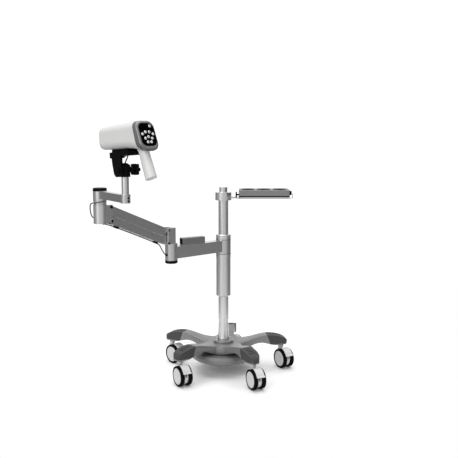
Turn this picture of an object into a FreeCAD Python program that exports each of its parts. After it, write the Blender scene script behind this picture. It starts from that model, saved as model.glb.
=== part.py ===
"""A video colposcope: a pistol-grip camera on a wheeled swing-arm stand with an accessory tray.

Millimetres, +Z up. The origin is on the column's axis at floor level. +X is the way the tray
points, and the arms reach out to -X, -Y. One STEP file is written for each separate piece.
"""
import FreeCAD, Part
import math
import os

V = FreeCAD.Vector
os.makedirs("parts", exist_ok=True)

# ---- driving dimensions --------------------------------------------------------------------
FIT = 0.05                  # radial clearance of a running fit
GAP = 0.3                   # clearance between pieces that only face each other

WHEEL_DIA = 75.0            # standard twin-wheel caster
WHEEL_WIDTH = 16.0
WHEEL_INSIDE = 8.0          # caster centre plane to a wheel's inner face
CASTER_TRAIL = 22.0         # stem axis to axle
CASTER_HEIGHT = 91.0        # floor to the leg's underside
CASTER_CIRCLE = 231.3       # column axis to a stem axis
CASTER_HEADINGS = (-60.0, -60.0, -47.0, -60.0, -65.0)
LEG_COUNT = 5
FIRST_LEG = 9.87            # heading of the first leg, degrees from +X
HUB_TOP = 111.0
HUB_UNDER = 83.0
HUB_RADIUS = 84.0
LEG_END = 256.0
PAD_THICKNESS = 5.0

DISC_RADIUS = 126.0         # counterweight under the hub
DISC_UNDER = 50.0

TUBE_RADIUS = 19.0          # column tube, 38 mm
TUBE_WALL = 3.0
TUBE_TOP = 697.0
STUB_RADIUS = 15.5
STUB_TOP = 716.0
FLANGE_RADIUS = 38.0
FLANGE_TOP = 119.0
BOLT_CIRCLE = 29.0
BOLT_COUNT = 6

SLEEVE_RADIUS = 27.5        # height-adjusting sleeve
SLEEVE_BOTTOM = 294.0
SLEEVE_TOP = 447.0
COLLAR_RADIUS = 28.3
HUB_SEAT = 461.0            # the swing arm's hub runs between the two lock collars
HUB_CAP = 516.0
COLLAR_TOP = 535.0
SCREW_HEADING = 214.0       # the collars' set screws

ARM_HEADING = 220.5         # swing arm, from the column to the elbow
ARM_REACH = 248.0
ARM_WIDTH = 37.0
ARM_LOW = 470.0
ARM_HIGH = 513.5
JOINT_RADIUS = 22.4         # elbow and wrist housings
ELBOW_LOW = 464.0
ELBOW_HIGH = 521.6
CAP_HEIGHT = 11.0

RAIL_SIDE = 24.0            # square accessory rail lying on the swing arm
RAIL_LENGTH = 95.0
RAIL_HEADING = 211.0

LINK_HEADING = 227.0        # spring arm, from the elbow to the wrist
LINK_PITCH = 22.3
LINK_LENGTH = 271.0         # pivot to pivot
PIVOT_INSET = 31.0          # elbow or wrist axis to its pivots
PIVOT_LOW = 531.0
PIVOT_RISE = 46.0           # lower pivot to upper pivot
BRACKET_WIDTH = 40.0
CHEEK = 3.0
PIN_RADIUS = 3.0

WRIST_LOW = 627.5
WRIST_HIGH = 689.3
EXTENSION_LOW = 700.4
EXTENSION_HIGH = 733.9
EXTENSION_HEADING = 303.0
EXTENSION_REACH = 194.0
CLAMP_RADIUS = 15.2
POST_RADIUS = 11.3
POST_TOP = 790.0

TILT_HEIGHT = 811.0         # the yoke's tilt axis
HEAD_HEADING = 135.0        # the way the lens points
HEAD_PITCH = -4.0
BARREL_RADIUS = 16.0
PLATE_TOP = 62.0            # yoke plate's top above the tilt axis
SHELL_WALL = 2.5
SEAM_SLANT = 13.6           # lean of the joint between the shells and the bezel
PANEL_SLANT = 18.0
PANEL_CENTRE = (-119.0, 97.0)
PANEL_WIDTH = 55.5
PANEL_HEIGHT = 69.0
PANEL_CORNER = 18.0
WINDOW_RADIUS = 28.0
KEY_RADIUS = 4.3
KEY_CLEAR = 0.1

TRAY_LEFT = 59.0
TRAY_RIGHT = 247.5
TRAY_MIDDLE = -20.0
TRAY_DEPTH = 92.0
TRAY_LOW = 683.0
TRAY_HIGH = 709.0
CUP_RADIUS = 25.5           # cups run through the body onto the bracket's seat
CUP_PITCH = 60.0

CABLE_RADIUS = 2.0
CABLE_DROP = 11.9           # the arm's cable below the link's pivots


# ---- helpers -------------------------------------------------------------------------------
def polar(radius, heading, z=0.0):
    """A point at a radius and heading from the column's axis."""
    a = math.radians(heading)
    return V(radius * math.cos(a), radius * math.sin(a), z)


def at(shape, origin, heading=0.0, pitch=0.0):
    """A shape drawn with +X forward, turned to a heading, pitched up, then moved."""
    turn = FreeCAD.Rotation(V(0, 0, 1), heading).multiply(FreeCAD.Rotation(V(0, 1, 0), -pitch))
    moved = shape.copy()
    moved.Placement = FreeCAD.Placement(origin, turn).multiply(moved.Placement)
    return moved


def block(x0, x1, y0, y1, z0, z1):
    return Part.makeBox(x1 - x0, y1 - y0, z1 - z0, V(x0, y0, z0))


def drum(radius, z0, z1, x=0.0, y=0.0):
    return Part.makeCylinder(radius, z1 - z0, V(x, y, z0))


def ring(outer, inner, z0, z1, x=0.0, y=0.0):
    return drum(outer, z0, z1, x, y).cut(drum(inner, z0 - 1, z1 + 1, x, y))


def cross_drum(radius, x, z, y0, y1):
    """A cylinder along Y."""
    return Part.makeCylinder(radius, y1 - y0, V(x, y0, z), V(0, 1, 0))


def long_drum(radius, x0, x1, y, z):
    """A cylinder along X."""
    return Part.makeCylinder(radius, x1 - x0, V(x0, y, z), V(1, 0, 0))


def slab(outline, y0, y1):
    """An outline in X, Z made thick along Y."""
    wire = Part.makePolygon([V(x, y0, z) for x, z in outline + outline[:1]])
    return Part.Face(wire).extrude(V(0, y1 - y0, 0))


def turned(outline):
    """An outline in radius, Z turned about Z."""
    wire = Part.makePolygon([V(r, 0, z) for r, z in outline + outline[:1]])
    return Part.Face(wire).revolve(V(0, 0, 0), V(0, 0, 1), 360)


def spline_edge(points):
    curve = Part.BSplineCurve()
    curve.interpolate(points)
    return curve.toShape()


def round_rect(width, height, radius):
    """A rounded rectangle's outline about the origin, in Y, Z."""
    w = width / 2
    h = height / 2
    s = radius * (1 - math.sqrt(0.5))
    corners = ((w, h, 1, 1), (-w, h, -1, 1), (-w, -h, -1, -1), (w, -h, 1, -1))
    edges = []
    for n, (y, z, sy, sz) in enumerate(corners):
        side = V(0, y, z - sz * radius)
        top = V(0, y - sy * radius, z)
        start, end = (side, top) if n % 2 == 0 else (top, side)
        edges.append(Part.Arc(start, V(0, y - sy * s, z - sz * s), end).toShape())
        ny, nz, nsy, nsz = corners[(n + 1) % 4]
        if n % 2 == 0:
            following = V(0, ny - nsy * radius, nz)
        else:
            following = V(0, ny, nz - nsz * radius)
        edges.append(Part.LineSegment(end, following).toShape())
    return Part.Wire(edges)


def section(x, width, low, high, radius):
    """A rounded rectangle standing across X, between two heights."""
    wire = round_rect(width, high - low, radius)
    wire.translate(V(x, 0, (high + low) / 2))
    return wire


def nose(x, z, radius, y0, y1):
    return cross_drum(radius, x, z, y0, y1)


def cable(points, radius):
    """A round cable along straight runs joined by tangent arcs, each as large as its runs allow."""
    edges = []
    start = points[0]
    for before, corner, after in zip(points, points[1:], points[2:]):
        back = before - corner
        ahead = after - corner
        run = min(back.Length, ahead.Length) * 0.45
        back.normalize()
        ahead.normalize()
        first = corner + back * run
        last = corner + ahead * run
        half = back.getAngle(ahead) / 2
        bend = run * math.tan(half)
        inward = back + ahead
        inward.normalize()
        middle = corner + inward * (bend / math.sin(half) - bend)
        print("cable bend radius %.1f" % bend)
        edges.append(Part.LineSegment(start, first).toShape())
        edges.append(Part.Arc(first, middle, last).toShape())
        start = last
    edges.append(Part.LineSegment(start, points[-1]).toShape())
    path = Part.Wire(edges)
    circle = Part.Circle(points[0], points[1] - points[0], radius).toShape()
    swept = path.makePipeShell([Part.Wire([circle])], True, True)
    print("cable volume %.0f of %.0f" % (swept.Volume, math.pi * radius ** 2 * path.Length))
    return swept


def save(name, shape):
    shape.exportStep("parts/%s.step" % name)


# ---- wheeled base --------------------------------------------------------------------------
def leg_solid(inset):
    """One leg along +X: its side view crossed with its plan. inset shrinks the outer part."""
    end = LEG_END - inset
    top = [V(0, 0, HUB_TOP), V(60, 0, HUB_TOP + 1), V(95, 0, 117), V(128, 0, 125 - inset / 2),
           V(160, 0, 131.5 - inset), V(195, 0, 131 - inset), V(228, 0, 124 - inset),
           V(end - 5, 0, 111 - inset), V(end, 0, 100)]
    under = [V(end - 6, 0, CASTER_HEIGHT), V(208, 0, CASTER_HEIGHT), V(180, 0, 96),
             V(150, 0, 103), V(118, 0, 99), V(90, 0, 89), V(60, 0, HUB_UNDER), V(0, 0, HUB_UNDER)]
    side = Part.Wire([
        spline_edge(top),
        Part.LineSegment(top[-1], under[0]).toShape(),
        Part.LineSegment(under[0], under[1]).toShape(),
        spline_edge(under[1:7]),
        Part.LineSegment(under[6], under[7]).toShape(),
        Part.LineSegment(under[7], top[0]).toShape(),
    ])
    tall = Part.Face(side)
    tall.translate(V(0, -60, 0))
    tall = tall.extrude(V(0, 120, 0))
    flank = [V(0, 46, 0), V(60, 42, 0), V(95, 29, 0), V(130, 23 - inset / 2, 0),
             V(165, 22 - inset, 0), V(205, 24 - inset, 0), V(end - 16, 20 - inset / 2, 0)]
    other = [V(p.x, -p.y, 0) for p in reversed(flank)]
    plan = Part.Wire([
        spline_edge(flank),
        Part.Arc(flank[-1], V(end, 0, 0), other[0]).toShape(),
        spline_edge(other),
        Part.LineSegment(other[-1], flank[0]).toShape(),
    ])
    wide = Part.Face(plan).extrude(V(0, 0, 200))
    return tall.common(wide)


def leg_pair():
    """A leg's cast part and the ribbed plastic pad that caps its outer end."""
    whole = leg_solid(0.0)
    core = leg_solid(PAD_THICKNESS)
    rim = CASTER_HEIGHT + 4.5
    zone = slab([(158, 170), (300, 170), (300, rim), (183, rim)], -60, 60)
    pad = whole.common(zone).cut(core)
    deep = leg_solid(PAD_THICKNESS - 1.0)
    for n in range(5):
        x = 174 + 12 * n
        groove = block(x, x + 4, -13, 13, 100, 200)
        pad = pad.cut(groove.cut(deep))
    cast = whole.cut(zone).fuse(core)
    stem_hole = drum(5.5 + FIT, CASTER_HEIGHT - 5, 109, CASTER_CIRCLE)
    return cast.cut(stem_hole), pad


def base():
    cast_leg, pad = leg_pair()
    headings = [FIRST_LEG + n * 360 / LEG_COUNT for n in range(LEG_COUNT)]
    casting = drum(HUB_RADIUS, HUB_UNDER, HUB_TOP)
    for heading in headings:
        casting = casting.fuse(at(cast_leg, V(0, 0, 0), heading))
    bolts = []
    for n in range(BOLT_COUNT):
        x, y = polar(BOLT_CIRCLE, 30 + n * 360 / BOLT_COUNT)[:2]
        head = drum(5.0, FLANGE_TOP, FLANGE_TOP + 5, x, y)
        socket = drum(2.5, FLANGE_TOP + 2, FLANGE_TOP + 6, x, y)
        bolts.append(head.fuse(drum(3.0, HUB_TOP - 12, FLANGE_TOP, x, y)).cut(socket))
    flange_bolts = Part.makeCompound(bolts)
    casting = casting.cut(flange_bolts)
    disc = turned([(0, DISC_UNDER), (116, DISC_UNDER), (DISC_RADIUS, 57), (DISC_RADIUS, 69),
                   (118, 79), (36, 79), (36, HUB_UNDER), (0, HUB_UNDER)])
    pads = Part.makeCompound([at(pad, V(0, 0, 0), heading) for heading in headings])
    column = turned([(0, HUB_TOP), (FLANGE_RADIUS, HUB_TOP), (FLANGE_RADIUS, FLANGE_TOP),
                     (25.5, FLANGE_TOP), (22, 127), (20.5, 150), (TUBE_RADIUS, 195),
                     (TUBE_RADIUS, TUBE_TOP), (STUB_RADIUS, TUBE_TOP), (STUB_RADIUS, STUB_TOP),
                     (0, STUB_TOP)])
    bore = drum(TUBE_RADIUS - TUBE_WALL, HUB_TOP + 6, TUBE_TOP - 8)
    column = column.cut(bore).cut(flange_bolts)
    save("base_casting", casting)
    save("leg_pads", pads)
    save("flange_bolts", flange_bolts)
    save("counterweight_disc", disc)
    save("column_tube", column)


# ---- casters -------------------------------------------------------------------------------
def caster_pieces():
    """Housing, wheel pair and brake pedal, with the stem on Z and the wheels trailing to +X."""
    axle = V(CASTER_TRAIL, 0, WHEEL_DIA / 2)
    half = WHEEL_INSIDE - 0.5
    hinge_z = axle.z + 16
    body = cross_drum(31.0, axle.x, axle.z, -half, half)
    shoulder = slab([(-11, 72), (-11, 60), (0, 45), (20, 40), (40, 62), (14, 72)], -half, half)
    stem = drum(7.0, 60, 78).fuse(drum(10.0, 77, CASTER_HEIGHT - GAP)).fuse(drum(5.5, 80, 108))
    pin = cross_drum(4.0, axle.x, axle.z, -WHEEL_INSIDE - 8, WHEEL_INSIDE + 8)
    slot = slab([(axle.x - 6, 80), (axle.x - 6, axle.z + 9), (axle.x + 16, axle.z + 3),
                 (axle.x + 45, axle.z - 2), (axle.x + 45, 80)], -3.6, 3.6)
    slot = slot.cut(drum(14.0, 60, 90))
    hinge_hole = cross_drum(2.5 + FIT, axle.x, hinge_z, -half - 1, half + 1)
    housing = body.fuse(shoulder).fuse(stem).cut(slot).cut(hinge_hole).fuse(pin)

    wheel = cross_drum(WHEEL_DIA / 2, axle.x, axle.z, WHEEL_INSIDE, WHEEL_INSIDE + WHEEL_WIDTH)
    rims = [e for e in wheel.Edges if e.Length > 200]
    wheel = wheel.makeFillet(2.5, rims)
    recess = cross_drum(28.0, axle.x, axle.z, WHEEL_INSIDE - 1, WHEEL_INSIDE + 5)
    boss = cross_drum(8.0, axle.x, axle.z, WHEEL_INSIDE, WHEEL_INSIDE + 6)
    bore = cross_drum(4.0 + FIT, axle.x, axle.z, WHEEL_INSIDE - 1, WHEEL_INSIDE + 8.5)
    wheel = wheel.cut(recess).fuse(boss).cut(bore)
    wheels = Part.makeCompound([wheel, wheel.mirror(V(0, 0, 0), V(0, 1, 0))])

    wedge = slab([(0, 0), (60, 25), (60, 75), (14, 75)], -30, 30)
    wedge.translate(V(axle.x, 0, axle.z))
    shell = cross_drum(43.0, axle.x, axle.z, -15, 15).cut(cross_drum(40.2, axle.x, axle.z, -16, 16))
    shell = shell.common(wedge)
    lip = slab([(35.5, 16.5), (44.4, 17.8), (44.5, 21), (37, 22.5)], -15, 15)
    lip.translate(V(axle.x, 0, axle.z))
    lip = lip.cut(cross_drum(40.2, axle.x, axle.z, -16, 16))
    web = slab([(-2, 13), (4, 12), (26, 12), (37.2, 19), (29, 30), (9, 41.2), (4, 24), (-2, 19)],
               -3.0, 3.0)
    web.translate(V(axle.x, 0, axle.z))
    web = web.fuse(cross_drum(5.0, axle.x, hinge_z, -3, 3))
    hinge = cross_drum(2.5, axle.x, hinge_z, -half, half)
    pedal = shell.fuse(lip).fuse(web).fuse(hinge)
    return {"housing": housing, "wheels": wheels, "pedal": pedal}


def casters():
    pieces = caster_pieces()
    for n in range(LEG_COUNT):
        foot = polar(CASTER_CIRCLE, FIRST_LEG + n * 360 / LEG_COUNT)
        for kind, shape in pieces.items():
            save("caster_%d_%s" % (n + 1, kind), at(shape, foot, CASTER_HEADINGS[n]))


# ---- sliding carriage on the column --------------------------------------------------------
def carriage():
    bore = drum(TUBE_RADIUS + FIT, 0, 900)
    sleeve = turned([(0, SLEEVE_BOTTOM), (SLEEVE_RADIUS - 3, SLEEVE_BOTTOM),
                     (SLEEVE_RADIUS, SLEEVE_BOTTOM + 4), (SLEEVE_RADIUS, SLEEVE_TOP),
                     (0, SLEEVE_TOP)]).cut(bore)
    low_collar = turned([(0, SLEEVE_TOP), (COLLAR_RADIUS, SLEEVE_TOP),
                         (COLLAR_RADIUS, HUB_SEAT), (0, HUB_SEAT)]).cut(bore)
    high_collar = turned([(0, HUB_CAP), (COLLAR_RADIUS, HUB_CAP), (COLLAR_RADIUS, COLLAR_TOP - 1.5),
                          (COLLAR_RADIUS - 1.5, COLLAR_TOP), (0, COLLAR_TOP)]).cut(bore)
    screws = []
    for z in ((SLEEVE_TOP + HUB_SEAT) / 2, HUB_CAP + 6):
        screw = long_drum(3.0, TUBE_RADIUS + 0.3, COLLAR_RADIUS - 1.0, 0, z)
        screws.append(at(screw, V(0, 0, 0), SCREW_HEADING))
    holes = [at(long_drum(3.0, TUBE_RADIUS - 1, COLLAR_RADIUS + 2, 0, z), V(0, 0, 0), SCREW_HEADING)
             for z in ((SLEEVE_TOP + HUB_SEAT) / 2, HUB_CAP + 6)]
    low_collar = low_collar.cut(holes[0])
    high_collar = high_collar.cut(holes[1])
    save("height_sleeve", sleeve)
    save("lock_collars", Part.makeCompound([low_collar, high_collar] + screws))


# ---- swing arm and elbow -------------------------------------------------------------------
ELBOW = polar(ARM_REACH, ARM_HEADING)


def swing_arm():
    hub = drum(COLLAR_RADIUS, HUB_SEAT + GAP, HUB_CAP - GAP)
    half = ARM_WIDTH / 2
    beam = block(0, ARM_REACH, -half, half, ARM_LOW, ARM_HIGH)
    hollow = block(45, ARM_REACH - 40, -half + 3, half - 3, ARM_LOW + 3, ARM_HIGH - 3)
    housing = drum(JOINT_RADIUS, ELBOW_LOW, ELBOW_HIGH, ARM_REACH)
    arm = hub.fuse(beam).fuse(housing).cut(hollow)
    arm = arm.cut(drum(TUBE_RADIUS + FIT, 400, 600))
    arm = arm.cut(drum(10.0 + FIT, ELBOW_LOW + 6, ELBOW_HIGH + 1, ARM_REACH))
    save("swing_arm", at(arm, V(0, 0, 0), ARM_HEADING))
    cap = turned([(0, ELBOW_LOW - CAP_HEIGHT), (JOINT_RADIUS - 2, ELBOW_LOW - CAP_HEIGHT),
                  (JOINT_RADIUS + 0.3, ELBOW_LOW - CAP_HEIGHT + 2),
                  (JOINT_RADIUS + 0.3, ELBOW_LOW), (0, ELBOW_LOW)])
    save("elbow_cap", at(cap, ELBOW))
    side = RAIL_SIDE / 2
    rail = block(0, RAIL_LENGTH, -side, side, 0, RAIL_SIDE)
    rail = rail.cut(block(-1, RAIL_LENGTH + 1, -side + 2, side - 2, 2, RAIL_SIDE - 2))
    plugs = [block(x, x + 8, -side + 2, side - 2, 2, RAIL_SIDE - 2) for x in (1.5, RAIL_LENGTH - 9.5)]
    seat = polar(ARM_REACH * 0.40, ARM_HEADING, ARM_HIGH) + polar(2.0, ARM_HEADING + 90)
    save("accessory_rail", at(Part.makeCompound([rail] + plugs), seat, RAIL_HEADING))


def bracket_cheeks(x0, x1, z0, z1, pivot_x):
    """Two cheeks drilled for the spring arm's pivots. Heights are above the lower pivot."""
    half = BRACKET_WIDTH / 2
    cheeks = []
    for y0, y1 in ((half - CHEEK, half), (-half, -half + CHEEK)):
        cheek = block(x0, x1, y0, y1, z0, z1)
        for z in (0.0, PIVOT_RISE):
            cheek = cheek.cut(cross_drum(PIN_RADIUS + FIT, pivot_x, z, y0 - 1, y1 + 1))
        cheeks.append(cheek)
    return cheeks[0].fuse(cheeks[1])


def elbow_bracket():
    """The clevis that turns on the elbow and carries the spring arm."""
    low = ELBOW_HIGH + GAP - PIVOT_LOW
    half = BRACKET_WIDTH / 2
    bracket = bracket_cheeks(-4, PIVOT_INSET + 5, low + 4, 53, PIVOT_INSET)
    bracket = bracket.fuse(block(-4, 8, -half, half, low + 2, 53))
    bracket = bracket.fuse(drum(JOINT_RADIUS, low, low + 5))
    bracket = bracket.fuse(drum(10.0, low - 48, low + 1))
    save("elbow_bracket", at(bracket, ELBOW + V(0, 0, PIVOT_LOW), LINK_HEADING))


# ---- spring arm ----------------------------------------------------------------------------
def pivot_pins(x_points):
    """Headed pins across both cheeks, along Y at height 0."""
    reach = BRACKET_WIDTH / 2
    pins = []
    for x in x_points:
        pin = cross_drum(PIN_RADIUS, x, 0, -reach - 1, reach + 1)
        for y in (-reach - 2.7, reach + 0.2):
            pin = pin.fuse(cross_drum(4.6, x, 0, y, y + 2.5))
        pins.append(pin)
    return Part.makeCompound(pins)


def channel(outline, ends, radius, half, wall, floor):
    """A pressed channel: two flanges with round noses at the pivots, joined by a floor plate."""
    flanges = []
    for y0, y1 in ((half - wall, half), (-half, -half + wall)):
        flange = slab(outline, y0, y1)
        for x in ends:
            flange = flange.fuse(nose(x, 0, radius, y0, y1))
        flanges.append(flange)
    return flanges[0].fuse(flanges[1]).fuse(floor)


def spring_arm():
    inner = ELBOW + polar(PIVOT_INSET, LINK_HEADING, PIVOT_LOW)
    upper = inner + V(0, 0, PIVOT_RISE)
    length = LINK_LENGTH
    half = BRACKET_WIDTH / 2 - CHEEK - 0.5
    pins = pivot_pins((0, length))
    eyes = [cross_drum(6.0, x, 0, -half + 2, half - 2) for x in (0, length)]

    outline = [(0, 5.5), (length, 5.5), (length, -2), (length - 13, -25), (13, -25), (0, -2)]
    top = block(0, length, -half, half, 3, 5.5)
    cover = channel(outline, (0, length), 5.5, half, 2.5, top)
    for eye in eyes:
        cover = cover.fuse(eye.common(block(-10, length + 10, -half, half, -5.5, 5.5)))
    cover = cover.cut(pins)
    save("spring_arm_cover", at(cover, upper, LINK_HEADING, LINK_PITCH))
    save("upper_pivot_pins", at(pins, upper, LINK_HEADING, LINK_PITCH))

    inside = half - 2.8
    outline = [(0, 5), (11, 23), (length - 11, 23), (length, 5), (length, -5),
               (length - 12, -8.9), (12, -8.9), (0, -5)]
    floor = block(12, length - 12, -inside, inside, -8.9, -6.4)
    link = channel(outline, (0, length), 6.0, inside, 2.0, floor)
    for x in (0, length):
        link = link.fuse(cross_drum(6.0, x, 0, -inside, inside))
    link = link.fuse(pins)
    save("lower_link", at(link, inner, LINK_HEADING, LINK_PITCH))

    cylinder = long_drum(8.0, 100, 215, 0, -16)
    rod = long_drum(3.0, 30, 100, 0, -16)
    lug = cross_drum(6.0, 226, -16, -5, 5).fuse(block(214, 226, -5, 5, -20, -12))
    hanger = block(218, 234, -5, 5, -12, 3)
    spring = cylinder.fuse(rod).fuse(lug).fuse(hanger).fuse(cross_drum(5.0, 30, -16, -4, 4))
    save("gas_spring", at(spring, upper, LINK_HEADING, LINK_PITCH))

    clips = []
    for x in (44.0, 231.0):
        clip = block(x - 9, x + 9, -5, 5, -14.8, -8.9)
        clips.append(clip.cut(long_drum(CABLE_RADIUS + FIT, x - 10, x + 10, 0, -CABLE_DROP)))
    save("cable_clips", at(Part.makeCompound(clips), inner, LINK_HEADING, LINK_PITCH))


def arm_cable():
    """The lead under the spring arm, from the wrist housing to the elbow housing."""
    inner = ELBOW + polar(PIVOT_INSET, LINK_HEADING, PIVOT_LOW)
    slope = math.radians(LINK_PITCH)

    def under(x, z):
        """A point in the lower link's own plane."""
        return inner + polar(x * math.cos(slope) - z * math.sin(slope), LINK_HEADING,
                             x * math.sin(slope) + z * math.cos(slope))

    def beside(along, z):
        """A point in the same plane, from a horizontal distance out and a height."""
        return ELBOW + polar(along, LINK_HEADING, z)

    exit_x = PIVOT_INSET + LINK_LENGTH * math.cos(slope) + 19
    points = [
        beside(exit_x, WRIST_LOW - 0.2),
        beside(exit_x, WRIST_LOW - 13),
        beside(exit_x - 11, WRIST_LOW - 21),
        under(252, -CABLE_DROP),
        under(28, -CABLE_DROP),
        beside(PIVOT_INSET + 22, PIVOT_LOW - 11),
        beside(JOINT_RADIUS + 12.5, 490),
        beside(JOINT_RADIUS + 1.0, 484.5),
    ]
    save("arm_cable", cable(points, CABLE_RADIUS))


# ---- wrist, extension arm and post ---------------------------------------------------------
WRIST = ELBOW + polar(2 * PIVOT_INSET + LINK_LENGTH * math.cos(math.radians(LINK_PITCH)),
                      LINK_HEADING)
POST = WRIST + polar(EXTENSION_REACH, EXTENSION_HEADING)


def wrist():
    rise = LINK_LENGTH * math.sin(math.radians(LINK_PITCH))
    pivot = PIVOT_LOW + rise
    cheeks = bracket_cheeks(-PIVOT_INSET - 5, -8, WRIST_LOW + 1.5 - pivot, WRIST_HIGH - 1.5 - pivot,
                            -PIVOT_INSET)
    cheeks.translate(V(0, 0, pivot))
    housing = drum(JOINT_RADIUS, WRIST_LOW, WRIST_HIGH).fuse(cheeks)
    housing = housing.cut(drum(9.0 + FIT, WRIST_LOW + 8, WRIST_HIGH + 1))
    save("wrist_bracket", at(housing, WRIST, LINK_HEADING))

    hub = drum(JOINT_RADIUS, EXTENSION_LOW, EXTENSION_HIGH)
    neck = drum(JOINT_RADIUS - 1.2, WRIST_HIGH + GAP, EXTENSION_LOW)
    spigot = drum(9.0, WRIST_LOW + 12, WRIST_HIGH + 1)
    beam = block(0, EXTENSION_REACH, -12, 12, 711, 735.5)
    clamp = drum(CLAMP_RADIUS, 710, 737, EXTENSION_REACH)
    arm = hub.fuse(neck).fuse(spigot).fuse(beam).fuse(clamp)
    arm = arm.cut(drum(JOINT_RADIUS + 0.4, EXTENSION_HIGH, 760))
    arm = arm.cut(drum(POST_RADIUS + FIT, 700, 760, EXTENSION_REACH))
    screws = []
    for z in (717.0, 726.0):
        hole = at(long_drum(2.0, POST_RADIUS - 1, CLAMP_RADIUS + 2, 0, z),
                  V(EXTENSION_REACH, 0, 0), 8.0)
        arm = arm.cut(hole)
        screws.append(at(long_drum(2.0, POST_RADIUS + 0.3, CLAMP_RADIUS - 0.6, 0, z),
                         V(EXTENSION_REACH, 0, 0), 8.0))
    save("extension_arm", at(Part.makeCompound([arm] + screws), WRIST, EXTENSION_HEADING))
    cap = turned([(0, EXTENSION_HIGH), (JOINT_RADIUS + 0.4, EXTENSION_HIGH),
                  (JOINT_RADIUS + 0.4, EXTENSION_HIGH + 8), (JOINT_RADIUS - 1.5, EXTENSION_HIGH + 10),
                  (0, EXTENSION_HIGH + 10)])
    save("wrist_cap", at(cap, WRIST))
    post = drum(POST_RADIUS, 710.5, POST_TOP).cut(drum(POST_RADIUS - 2.5, 700, POST_TOP - 4))
    save("post", at(post, POST))


def wrist_cable():
    """The lead's free loop outside the wrist, from the extension's neck to the lower housing."""
    out = LINK_HEADING - 50
    points = [
        WRIST + polar(23.3, out + 92, 695),
        WRIST + polar(34, out + 60, 696),
        WRIST + polar(37, out + 14, 688),
        WRIST + polar(35.5, out, 664),
        WRIST + polar(29, out + 4, 650),
        WRIST + polar(23.5, out + 6, 646.5),
    ]
    save("wrist_cable", cable(points, CABLE_RADIUS))


# ---- yoke ----------------------------------------------------------------------------------
TILT = POST + V(0, 0, TILT_HEIGHT)


def yoke():
    low = POST_TOP - TILT_HEIGHT
    barrel = drum(BARREL_RADIUS, low, 21).common(Part.makeSphere(21.0).fuse(drum(30, low, 5)))
    barrel = barrel.cut(cross_drum(4.0 + FIT, 0, 0, -20, 20))
    barrel = barrel.cut(drum(3.0, 6, 30))
    save("yoke_barrel", at(barrel, TILT, HEAD_HEADING))

    cheek = slab([(-13, -17), (-9, -21), (15, -21), (24, -12), (30, 20), (32, 44), (-13, 44)],
                 BARREL_RADIUS + 0.5, 24)
    cheek = cheek.cut(cross_drum(4.0 + FIT, 0, 0, 10, 30))
    plate = block(-50, 40, -24, 24, 42, 54).fuse(block(29, 40, -24, 24, 36, 43))
    plate = plate.fuse(block(-43, 34, -19, 19, 54, PLATE_TOP))
    hole = drum(3.25, 30, PLATE_TOP + 1)
    bracket = cheek.fuse(plate).cut(hole)
    screw = drum(3.2, 42, PLATE_TOP + 8).fuse(drum(6.0, 39, 42))
    bracket = Part.makeCompound([bracket, screw])
    save("yoke_bracket", at(bracket, TILT, HEAD_HEADING, HEAD_PITCH))

    lobes = cross_drum(12.5, 0, 0, -45, -31)
    for n in range(6):
        a = math.radians(60 * n)
        lobes = lobes.fuse(cross_drum(6.2, 12.6 * math.cos(a), 12.6 * math.sin(a), -45, -31))
    knob = lobes.fuse(cross_drum(9.0, 0, 0, -32, -BARREL_RADIUS - 0.4))
    knob = knob.fuse(cross_drum(4.0, 0, 0, -20, 24))
    knob = knob.fuse(cross_drum(7.0, 0, 0, 24.3, 28)).fuse(cross_drum(4.0, 0, 0, 23, 25))
    save("clamp_knob", at(knob, TILT, HEAD_HEADING))


def camera_lead():
    """The short lead from the camera's foot into the barrel's hollow top."""
    points = [V(-5.5, -5.5, 41.95), V(-5.5, -5.5, 35), V(-2.5, -2.5, 29), V(-1, -1, 23)]
    save("camera_lead", at(cable(points, 1.6), TILT, HEAD_HEADING, HEAD_PITCH))


# ---- camera head ---------------------------------------------------------------------------
def slanted_zone(x_mid, z_mid, slant, forward):
    """Everything on one side of a plane that leans back towards its foot."""
    far = 400.0
    x = 0.0 if forward else -far
    zone = block(x, x + far, -far / 2, far / 2, -far / 2, far / 2)
    return at(zone, V(x_mid, 0, z_mid), 0.0, -slant)


def head_loft(inset):
    wires = [
        section(-150, 68 - 2 * inset, PLATE_TOP - 16 + inset, 139.5 - inset, 22 - inset),
        section(-60, 68 - 2 * inset, PLATE_TOP + inset, 139 - inset, 22 - inset),
        section(35, 67 - 2 * inset, PLATE_TOP + inset, 135.5 - inset, 21 - inset),
        section(69 - inset, 65 - 2 * inset, PLATE_TOP + 1 + inset, 133 - inset, 20 - inset),
        section(81 - inset, 59.6 - 2 * inset, PLATE_TOP + 6 + inset, 128 - inset, 19 - inset),
    ]
    return Part.makeLoft(wires, True, True)


def handle_loft(inset):
    """The grip, lofted down its own raked axis."""
    wires = []
    for depth, long_half, wide_half in ((-40, 19, 15), (0, 18, 14.5), (45, 19, 15.2), (79, 20, 16)):
        if depth > 0 and depth > 60:
            depth = depth - inset
        ellipse = Part.Ellipse(V(0, 0, 0), long_half - inset, wide_half - inset).toShape()
        ellipse.translate(V(0, 0, -depth))
        wires.append(Part.Wire([ellipse]))
    loft = Part.makeLoft(wires, True, False)
    return at(loft, V(-97.5, 0, 45), 0.0, -18.6)


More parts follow.
